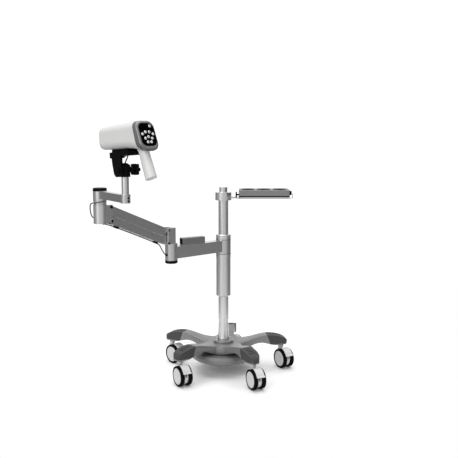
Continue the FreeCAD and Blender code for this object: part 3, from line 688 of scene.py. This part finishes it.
def shells():
    """The two moulded halves of the body and grip, split along the middle."""
    work = remeshed(closed_mesh([loft(body_rings()), loft(handle_rings())]), SKIN_GRID)
    eased(work, work.verts, 4)
    neck = [v for v in work.verts if 38 < v.co.z < 66 and v.co.x < -50]
    eased(work, neck, 25)
    whole = bpy.data.meshes.new("whole_shell")
    work.to_mesh(whole)
    work.free()
    # the wedge behind the seam follows the underside, which falls 16 mm over its last 90 mm
    low = head_section(SEAM_X)[1] - 0.6
    behind = low - (200 + SEAM_X) * 16.0 / 90.0
    wedge = [(seam_x(low), low), (seam_x(170), 170), (-200, 170), (-200, behind)]
    pocket = moved(disc(WINDOW_RADIUS + 0.1, 60, 97), Matrix.Translation((0, 0, WINDOW_Z)))
    whole = cut_by(whole, [prism(wedge, -60, 60), pocket])
    for side, name in ((1, "camera_shell_left"), (-1, "camera_shell_right")):
        half = bmesh.new()
        half.from_mesh(whole)
        cut_away(half, Vector((0, side * SEAM_GAP, 0)), Vector((0, -side, 0)))
        mesh = bpy.data.meshes.new(name + "_moulding")
        half.to_mesh(mesh)
        half.free()
        mesh.transform(Matrix.Scale(MM, 4) @ HEAD)
        finish_mesh(mesh, WHITE_SHELL, 50)
        piece = new_object(name + "_moulding", mesh)
        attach(piece, "head")
        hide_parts(name)


# ---- keys ----------------------------------------------------------------------------------
def bar(x0, z0, x1, z1, half=0.3):
    """A short stroke's outline in a key's own plane."""
    a = Vector((x0, z0))
    b = Vector((x1, z1))
    side = (b - a).normalized()
    across = Vector((-side.y, side.x)) * half
    return [tuple(p) for p in (a + across, b + across, b - across, a - across)]


def arc_strokes(radius, start, end, half=0.3, steps=14):
    """Short strokes along an arc, from one angle to another in degrees."""
    strokes = []
    for n in range(steps):
        a = math.radians(between(start, end, n / steps))
        b = math.radians(between(start, end, (n + 1) / steps))
        strokes.append(bar(radius * math.cos(a), radius * math.sin(a),
                           radius * math.cos(b), radius * math.sin(b), half))
    return strokes


def arrow(turn):
    """A small triangle that points up before it is turned."""
    shape = [(-1.3, -0.9), (1.3, -0.9), (0, 1.3)]
    c = math.cos(math.radians(turn))
    s = math.sin(math.radians(turn))
    return [[(x * c - z * s, x * s + z * c) for x, z in shape]]


KEY_MARKS = (
    arc_strokes(1.9, 125, 415) + [bar(0, 0.4, 0, 2.6)],
    [bar(-1.6, 0, 1.6, 0), bar(0, -1.6, 0, 1.6)],
    arrow(0),
    arc_strokes(1.5, 0, 360),
    [bar(-1.6, 0, 1.6, 0)],
    [[(-1.3, -1.3), (1.3, -1.3), (1.3, 1.3), (-1.3, 1.3)]],
    arrow(90),
    arrow(-90),
    arc_strokes(1.0, 0, 360) + [bar(1.4, 0, 2.2, 0, 0.2), bar(-1.4, 0, -2.2, 0, 0.2),
                                bar(0, 1.4, 0, 2.2, 0.2), bar(0, -1.4, 0, -2.2, 0.2)],
    arrow(180),
)


def keys():
    """Ten soft keys with domed tops and plain printed marks."""
    profile = [(0, -5.5), (4.1, -5.5), (4.3, -5.2), (4.3, 0.5), (4.15, 0.95), (3.7, 1.3),
               (2.6, 1.55), (1.3, 1.65), (0, 1.68)]
    for n, (y, z) in enumerate(KEY_SPOTS):
        node = "power_key" if n == 0 else "key_%d" % n
        body = "power_button" if n == 0 else "button_%d" % n
        spot = HEAD @ PANEL @ Matrix.Translation((0, y, z))
        cap = make(node + "_cap", [along_x(lathe(profile, 32))], spot, KEY_WHITE, body,
                   40)
        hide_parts(node)
        strokes = [loft([[(x, a, b) for a, b in shape] for x in (1.3, 1.76)])
                   for shape in KEY_MARKS[n]]
        make(node + "_mark", strokes, spot, MARK_INK, body, 30)


# ---- lens end ------------------------------------------------------------------------------
LENS_AXIS = HEAD @ Matrix.Translation((0, 0, WINDOW_Z))
LED_COUNT = 12
LED_CIRCLE = 20.4


def lens_end():
    """The stepped black housing behind the window, its ring of lamps and the coated front lens."""
    housing = [(0, 61.0), (27.9, 61.0), (27.9, 76.6), (27.0, 77.2), (26.3, 76.6), (25.6, 71.0),
               (24.8, 70.4), (16.4, 70.4), (15.8, 71.0), (15.8, 73.2), (15.2, 73.8), (14.4, 73.8),
               (13.9, 73.2), (13.2, 70.6), (12.4, 70.2), (11.9, 68.6), (11.0, 68.2), (10.6, 66.0),
               (0, 66.0)]
    piece = make("lens_housing", [along_x(lathe(housing, 72))], LENS_AXIS, MODULE_BLACK, "head",
                 30)
    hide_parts("camera_module")
    dome = [(10.7, 66.2), (10.6, 67.6), (9.0, 69.0), (6.5, 70.1), (3.5, 70.8), (0, 71.0)]
    make("front_lens", [along_x(lathe(dome, 48))], LENS_AXIS, LENS_COATING, "head",
         60)
    lamp = [(0, 70.0), (2.6, 70.0), (2.6, 71.4), (2.3, 72.2), (1.6, 72.9), (0.8, 73.2), (0, 73.3)]
    seat = [(2.7, 70.2), (3.3, 70.2), (3.3, 71.2), (3.0, 71.5), (2.7, 71.2)]
    lamps = []
    seats = []
    for n in range(LED_COUNT):
        a = 2 * math.pi * n / LED_COUNT
        spot = Matrix.Translation((0, LED_CIRCLE * math.cos(a), LED_CIRCLE * math.sin(a)))
        lamps.append(moved(along_x(lathe(lamp, 20)), spot))
        seats.append(moved(along_x(lathe(seat, 20, closed=True)), spot))
    make("lamp_ring", lamps, LENS_AXIS, LED_LENS, "head", 50)
    make("lamp_seats", seats, LENS_AXIS, ALUMINIUM, "head", 40)


# ---- casters -------------------------------------------------------------------------------
def tyre_outline():
    """Half of a wheel pair's tyre, in radius and distance from the caster's middle."""
    radius = WHEEL_DIA / 2
    inside = WHEEL_INSIDE
    outside = WHEEL_INSIDE + WHEEL_WIDTH
    tyre = [(29.8, inside + 1.0), (31.2, inside + 0.3), (35.0, inside + 0.3), (36.8, inside + 1.3),
            (radius - 0.1, inside + 2.4)]
    for n in range(5):
        y = inside + 3.2 + 2.05 * n
        tyre += [(radius, y), (radius, y + 1.2), (radius - 0.7, y + 1.35), (radius - 0.7, y + 1.8)]
    return tyre + [(radius, outside - 2.0), (36.9, outside - 0.9), (35.2, outside - 0.25),
                   (32.0, outside - 0.1), (30.6, outside - 0.5), (29.8, outside - 1.2)]


def hub_outline():
    """The pale hub inside the tyre, with a groove and a stepped cap on its outer face."""
    inside = WHEEL_INSIDE
    outside = WHEEL_INSIDE + WHEEL_WIDTH
    return [(0, inside), (8, inside), (8, inside + 5), (26, inside + 5), (27.4, inside + 1.2),
            (29.7, inside + 1.2), (29.7, outside - 1.1), (29.0, outside - 0.4),
            (27.6, outside - 0.2), (26.6, outside - 0.4), (26.1, outside - 1.0),
            (25.4, outside - 1.0), (24.9, outside - 0.5), (14.0, outside - 0.8),
            (11.2, outside - 0.85), (10.9, outside - 1.3), (10.2, outside - 1.3),
            (9.9, outside - 0.7), (7.5, outside - 0.25), (0, outside - 0.15)]


def casters():
    """Each caster's tyres and hubs, and the collar and seal on its stem."""
    mirror = Matrix.Scale(-1, 4, (0, 1, 0))
    axle = Matrix.Translation((CASTER_TRAIL, 0, WHEEL_DIA / 2))
    tyre = along_y(lathe(tyre_outline(), 72, closed=True))
    hub = along_y(lathe(hub_outline(), 64))
    collar = [(0, 77.5), (10.3, 77.5), (10.9, 78.1), (10.9, 80.6), (10.2, 81.4), (10.2, 86.4),
              (0, 86.4)]
    seal = [(0, 86.4), (11.4, 86.4), (12.2, 87.2), (12.2, 89.8), (11.6, CASTER_HEIGHT - 0.4),
            (0, CASTER_HEIGHT - 0.4)]
    for n in range(LEG_COUNT):
        foot = polar(CASTER_CIRCLE, FIRST_LEG + n * 360 / LEG_COUNT)
        where = place(foot, CASTER_HEADINGS[n]) @ axle
        name = "caster_%d" % (n + 1)
        body = name + "_wheel_pair"
        tyres = make(name + "_tyres", [tyre, moved(tyre, mirror)], where, TYRE_RUBBER, body,
                     28)
        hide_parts(name + "_wheels")
        make(name + "_hubs", [hub, moved(hub, mirror)], where, PALE_PLASTIC_AND_HIGHLIGHT, body,
             28)
        make(name + "_stem_collar", [lathe(collar, 40)], place(foot), CASTER_GREY,
             name + "_body", 30)
        make(name + "_stem_seal", [lathe(seal, 40)], place(foot), BLACK_PLASTIC, name + "_body",
             30)


# ---- column foot, tray and small fittings --------------------------------------------------
def column_foot():
    """The painted collar that wraps the column's flange and the taper above it."""
    outline = [(FLANGE_RADIUS - 2, HUB_TOP + 0.3), (FLANGE_RADIUS + 0.3, HUB_TOP + 0.6),
               (FLANGE_RADIUS + 0.3, FLANGE_TOP - 1.4), (FLANGE_RADIUS - 1.2, FLANGE_TOP + 0.3),
               (28.0, FLANGE_TOP + 0.4), (26.2, FLANGE_TOP + 1.0), (24.2, FLANGE_TOP + 4.0),
               (22.9, 126.4), (22.2, 127.2), (18.0, 127.2), (18.0, HUB_TOP + 0.3)]
    make("column_foot", [lathe(outline, 72, closed=True)], Matrix.Identity(4), BASE_PAINT, "base",
         40)


def cup_liners():
    """A soft ribbed liner with a rolled rim in each of the tray's cups."""
    middle = (TRAY_LEFT + TRAY_RIGHT) / 2 - 1
    floor = TRAY_LOW + 2.0
    rim = TRAY_LOW + 26.0
    liner = [(CUP_RADIUS - 0.15, floor - 1.0), (CUP_RADIUS - 0.15, rim - 0.4),
             (CUP_RADIUS + 1.1, rim - 0.1), (CUP_RADIUS + 1.6, rim + 0.5),
             (CUP_RADIUS + 1.2, rim + 1.1), (CUP_RADIUS + 0.1, rim + 1.3),
             (CUP_RADIUS - 1.1, rim + 0.8), (CUP_RADIUS - 1.6, rim - 0.2),
             (CUP_RADIUS - 1.8, floor + 1.0), (CUP_RADIUS - 2.6, floor), (0, floor)]
    rib = [(0, floor + 1.0), (0.6, floor + 1.0), (0.6, rim - 2.5), (0, rim - 1.9)]
    ribs = []
    for k in range(24):
        a = 2 * math.pi * k / 24
        spot = Matrix.Rotation(a, 4, "Z") @ Matrix.Translation((CUP_RADIUS - 1.9, 0, 0))
        ribs.append(moved(lathe(rib, 8), spot))
    for n, name in ((-1, "near"), (0, "middle"), (1, "far")):
        where = Matrix.Translation((middle + CUP_PITCH * n, TRAY_MIDDLE, 0))
        make("cup_liner_" + name, [lathe(liner, 72)] + ribs, where, LINER_RUBBER, "tray",
             40)


def dark_rings():
    """Thin plastic rings between the column's collars, and the strip along the tray's foot."""
    ring = [(COLLAR_RADIUS - 2, -0.7), (COLLAR_RADIUS + 0.1, -0.7), (COLLAR_RADIUS + 0.4, -0.3),
            (COLLAR_RADIUS + 0.4, 0.3), (COLLAR_RADIUS + 0.1, 0.7), (COLLAR_RADIUS - 2, 0.7)]
    for name, z in (("lower", HUB_SEAT), ("upper", HUB_CAP)):
        make(name + "_collar_ring", [lathe(ring, 72, closed=True)], Matrix.Translation((0, 0, z)),
             BLACK_PLASTIC, "carriage", 40)
    long = TRAY_RIGHT - TRAY_LEFT
    outline = round_rect(long + 0.6, TRAY_DEPTH + 0.6, 3.3)
    inner = round_rect(long - 1.0, TRAY_DEPTH - 1.0, 2.5)
    rings = []
    for z, loop in ((0.4, inner), (0.4, outline), (4.6, outline), (4.9, inner)):
        rings.append([(x, y, TRAY_LOW + z) for x, y in loop])
    middle = Vector(((TRAY_LEFT + TRAY_RIGHT) / 2, TRAY_MIDDLE, 0))
    make("tray_strip", [loft(rings, ends=False)], Matrix.Translation(middle), BLACK_PLASTIC, "tray",
         40)


def bracket_edge_highlight():
    """A pale strip down the arm side of the elbow bracket's cheek: a painted highlight for the light
    caught on the cheek's edge.
    """
    side = JOINT_RADIUS
    outline = [(PIVOT_INSET + 1.4, ELBOW_HIGH + 5), (PIVOT_INSET + 5.0, ELBOW_HIGH + 5),
               (PIVOT_INSET + 5.0, PIVOT_LOW + 52.5), (PIVOT_INSET + 1.4, PIVOT_LOW + 52.5)]
    # the pale strip is a painted highlight standing in for the cheek's lit edge
    make("bracket_edge_highlight", [prism(outline, side - 0.5, side + 0.4)], place(ELBOW, LINK_HEADING),
         PALE_PLASTIC_AND_HIGHLIGHT, "elbow", 35)


def socket_screw(radius, height, socket):
    """A cap screw's head along +X from 0, with a six-sided socket."""
    angles = [2 * math.pi * n / 24 for n in range(24)]
    profile = [(radius, 0), (radius, height - 0.4), (radius - 0.4, height), (socket + 0.3, height)]
    rings = []
    for r, x in profile:
        rings.append([(x, r * math.cos(a), r * math.sin(a)) for a in angles])
    for x in (height - 0.25, height * 0.35):
        ring = []
        for a in angles:
            flat = a % (math.pi / 3) - math.pi / 6
            r = socket * math.cos(math.pi / 6) / math.cos(flat)
            ring.append((x, r * math.cos(a), r * math.sin(a)))
        rings.append(ring)
    return loft(rings)


def collar_screws():
    """One set screw in each of the column's collars."""
    for n, z in enumerate(COLLAR_SCREW_HEIGHTS):
        where = place(Vector((0, 0, z)), SCREW_HEADING) @ Matrix.Translation((26.9, 0, 0))
        make("collar_screw_%d" % (n + 1), [socket_screw(2.8, 1.2, 1.4)], where, BLACK_METAL,
             "carriage", 35)


def clamp_screws():
    """The two screws that close the extension arm's clamp on the post."""
    clamp = []
    for z in CLAMP_SCREW_HEIGHTS:
        clamp.append(moved(socket_screw(2.9, 2.2, 1.5), Matrix.Translation((14.2, 0, z))))
    make("clamp_screws", clamp, place(POST, EXTENSION_HEADING + 8.0), BLACK_METAL, "extension",
         35)


def pivot_caps():
    """Screw heads on both ends of the lower link's two pins."""
    caps = []
    for x in (0.0, LINK_LENGTH):
        for side in (1, -1):
            turn = Matrix.Rotation(math.radians(90 * side), 4, "Z")
            spot = Matrix.Translation((x, side * JOINT_RADIUS, 0)) @ turn
            caps.append(moved(socket_screw(4.7, 0.9, 2.0), spot))
    make("lower_pivot_caps", caps, LINK, BLACK_METAL, "link", 35)


def rail_plugs():
    """A square plug in each end of the accessory rail."""
    middle = RAIL_SIDE / 2
    width = RAIL_SIDE - 3.2
    face = round_rect(width, width, 1.5, 4)
    plugs = []
    for x, out in ((1.6, -1), (RAIL_LENGTH - 1.6, 1)):
        rings = []
        for beyond, size in ((0.0, 1.0), (1.2, 1.0), (1.7, 0.93)):
            rings.append([(x + beyond * out, y * size, z * size + middle) for y, z in face])
        plugs.append(loft(rings))
    seat = polar(ARM_REACH * 0.40, ARM_HEADING, ARM_HIGH) + polar(2.0, ARM_HEADING + 90)
    make("rail_plugs", plugs, place(seat, RAIL_HEADING), BLACK_PLASTIC, "swing", 35)


# ---- cables --------------------------------------------------------------------------------
def cord_mesh(name, route, radius):
    """A smooth round cable's mesh along a spline with these control points."""
    curve = bpy.data.curves.new(name, "CURVE")
    curve.dimensions = "3D"
    curve.bevel_depth = radius
    curve.bevel_resolution = 5
    curve.resolution_u = 14
    curve.use_fill_caps = True
    spline = curve.splines.new("NURBS")
    spline.points.add(len(route) - 1)
    for point, spot in zip(spline.points, route):
        point.co = (*spot, 1)
    spline.order_u = 3
    spline.use_endpoint_u = True
    holder = new_object(name, curve)
    graph = bpy.context.evaluated_depsgraph_get()
    mesh = bpy.data.meshes.new_from_object(holder.evaluated_get(graph))
    bpy.data.objects.remove(holder)
    mesh.transform(Matrix.Scale(MM, 4))
    return mesh


def cable(name, route, radius):
    """A round cable along a route between two bodies."""
    mesh = cord_mesh(name, route, radius)
    mesh.materials.clear()
    finish_mesh(mesh, CABLE_RUBBER, 60)
    piece = new_object(name, mesh)
    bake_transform(piece)
    return piece


def boot(name, spot, towards, body, length=7.0):
    """A short tapered strain relief round a cable's end."""
    profile = [(0, -1.0), (4.2, -1.0), (4.4, 0.0), (4.2, 1.0)]
    for n in range(4):
        x = 1.4 + n * (length - 1.6) / 4
        r = 3.7 - n * 0.3
        profile += [(r, x), (r, x + 0.8), (r - 0.5, x + 0.9), (r - 0.5, x + 1.2)]
    profile += [(2.2, length), (0, length)]
    turn = Vector((0, 0, 1)).rotation_difference(towards.normalized()).to_matrix().to_4x4()
    make(name, [lathe(profile, 28)], Matrix.Translation(spot) @ turn, BLACK_PLASTIC, body,
         30)


def cables():
    """The lead under the spring arm, its free loop round the wrist, and the camera's short lead."""
    slope = math.radians(LINK_PITCH)

    def under(x, z):
        """A point in the lower link's own plane."""
        return LINK @ Vector((x, 0, z))

    def beside(along, z):
        """A point in the same plane, from a horizontal distance out and a height."""
        return ELBOW + polar(along, LINK_HEADING, z)

    exit_x = PIVOT_INSET + LINK_LENGTH * math.cos(slope) + 19
    upper = [beside(exit_x, WRIST_LOW - 1.5), beside(exit_x - 14, WRIST_LOW - 7),
             under(250, -CABLE_DROP), under(140, -CABLE_DROP)]
    lower = [under(140, -CABLE_DROP), under(28, -CABLE_DROP), beside(PIVOT_INSET + 22, PIVOT_LOW - 11),
             beside(JOINT_RADIUS + 12.5, 490), beside(JOINT_RADIUS + 1.0, 484.5)]
    top = cable("arm_cable_upper", upper, CABLE_RADIUS)
    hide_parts("arm_cable")
    cable("arm_cable_lower", lower, CABLE_RADIUS)
    boot("wrist_boot", upper[0], upper[1] - upper[0], "wrist", 6.0)
    boot("elbow_boot", lower[-1], lower[-2] - lower[-1], "elbow", 6.0)

    out = LINK_HEADING - 50
    loop = [WRIST + polar(23.3, out + 138, 701), WRIST + polar(26.5, out + 112, 700),
            WRIST + polar(27, out + 74, 698), WRIST + polar(31, out + 40, 696),
            WRIST + polar(33, out + 10, 686), WRIST + polar(32.5, out, 664),
            WRIST + polar(28, out + 2, 650), WRIST + polar(23.5, out + 6, 646.5)]
    ring = cable("wrist_loop", loop, CABLE_RADIUS)
    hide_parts("wrist_cable")

    lead = [HEAD @ Vector(v) for v in ((-11, -5.5, 42.2), (-10, -5, 36), (-5, -2.5, 29), (-1, -1, 19))]
    short = cable("head_lead", lead, CABLE_RADIUS)
    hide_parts("camera_lead")


# ---- stage ---------------------------------------------------------------------------------
CAMERA_SPOT = (0.0, -2.700, 0.92525)
CAMERA_DIP = 0.1363
CAMERA_PAN = 0.0080
SENSOR_WIDTH = 36.0
FOCAL_LENGTH = 55.855


def world_ramp(tree, value, stops):
    """A grey shade from a value, by positions and shades."""
    node = tree.nodes.new("ShaderNodeValToRGB")
    elements = node.color_ramp.elements
    while len(elements) < len(stops):
        elements.new(0.5)
    for element, (position, shade) in zip(elements, stops):
        element.position = position
        element.color = (shade, shade, shade, 1)
    tree.links.new(value, node.inputs["Fac"])
    return node.outputs["Color"]


def mapped(tree, value, low, high, to_low, to_high):
    """A value carried from one range to another, and held at the ends."""
    node = tree.nodes.new("ShaderNodeMapRange")
    numbers = (low, high, to_low, to_high)
    for socket, number in zip(("From Min", "From Max", "To Min", "To Max"), numbers):
        node.inputs[socket].default_value = number
    tree.links.new(value, node.inputs["Value"])
    return node.outputs["Result"]


def mixed(tree, fac, a, shade):
    """A colour mixed towards one plain grey shade."""
    node = tree.nodes.new("ShaderNodeMix")
    node.data_type = "RGBA"
    sockets = [s for s in node.inputs if s.enabled]
    tree.links.new(fac, sockets[0])
    tree.links.new(a, sockets[1])
    sockets[2].default_value = (shade, shade, shade, 1)
    return next(s for s in node.outputs if s.enabled)


def gaze(side, rise):
    """A direction from angles to the right of straight ahead (+Y) and above the level."""
    return Vector((math.sin(side) * math.cos(rise), math.cos(side) * math.cos(rise),
                   math.sin(rise)))


def stage_floor():
    """A pale round floor."""
    mesh = bpy.data.meshes.new("floor")
    edge = [polar(FLOOR_RADIUS, 5 * k) for k in range(72)]
    mesh.from_pydata(edge, [], [tuple(range(72))])
    pale = Paint("pale_floor")
    haze = pale.noise(2.0, 2.0, 0.5)
    pale.colour(pale.mix(haze, 0.94, 0.96))
    pale.rough(0.8)
    pale.shader.inputs["Emission Color"].default_value = (1, 1, 1, 1)
    pale.shader.inputs["Emission Strength"].default_value = 0.02
    mesh.materials.append(pale.material)
    floor = new_object("floor", mesh)


def surround():
    """A white surround to look at, and a room with a bright back and a soft front to light it."""
    world = bpy.data.worlds.new("surround")
    bpy.context.scene.world = world
    world.use_nodes = True
    tree = world.node_tree
    back = tree.nodes["Background"]
    coords = tree.nodes.new("ShaderNodeTexCoord")
    axes = tree.nodes.new("ShaderNodeSeparateXYZ")
    tree.links.new(coords.outputs["Generated"], axes.inputs["Vector"])
    across = mapped(tree, axes.outputs["Y"], -1.0, 1.0, 0.0, 1.0)
    walls = world_ramp(tree, across, ((0.0, 0.52), (0.15, 0.50), (0.24, 0.3), (0.33, 0.17),
                                      (0.9, 0.15), (0.96, 0.9), (1.0, 1.0)))
    overhead = world_ramp(tree, axes.outputs["Z"], ((0.0, 0.0), (0.35, 0.0), (0.6, 1.0)))
    left = mapped(tree, axes.outputs["X"], -0.88, -0.97, 0.0, 1.0)
    lit = mixed(tree, left, walls, 0.30)
    lit = mixed(tree, overhead, lit, 0.55)
    path = tree.nodes.new("ShaderNodeLightPath")
    shown = mixed(tree, path.outputs["Is Camera Ray"], lit, 1.0)
    tree.links.new(shown, back.inputs["Color"])
    strength = mapped(tree, axes.outputs["Z"], -0.22, -0.04, 1.0, 1.12)
    tree.links.new(strength, back.inputs["Strength"])


def sun_light(name, azimuth, height, strength, softness):
    """A broad sun: degrees to the right of the viewer's side, and degrees above the floor."""
    data = bpy.data.lights.new(name, "SUN")
    data.energy = strength
    data.angle = math.radians(softness)
    lamp = new_object(name, data)
    towards = gaze(math.radians(180 - azimuth), math.radians(height))
    lamp.rotation_euler = towards.to_track_quat("Z", "Y").to_euler()


def camera():
    """The camera, about level with the head, looking slightly down."""
    lens = bpy.data.cameras.new("camera")
    lens.sensor_width = SENSOR_WIDTH
    lens.lens = FOCAL_LENGTH
    eye = new_object("camera", lens)
    eye.location = CAMERA_SPOT
    eye.rotation_euler = gaze(CAMERA_PAN, -CAMERA_DIP).to_track_quat("-Z", "Y").to_euler()
    bpy.context.scene.camera = eye


def studio():
    """The floor, the surround, two soft suns and the camera."""
    bpy.context.scene.view_settings.view_transform = "Standard"
    stage_floor()
    surround()
    sun_light("overhead_sun", 180, 82, 1.75, 70)
    sun_light("front_sun", -40, 25, 1.25, 50)
    camera()


for node_name in NODES:
    dress(node_name)
shells()
bezel()
keys()
lens_end()
casters()
column_foot()
cup_liners()
dark_rings()
bracket_edge_highlight()
collar_screws()
clamp_screws()
pivot_caps()
rail_plugs()
cables()
studio()
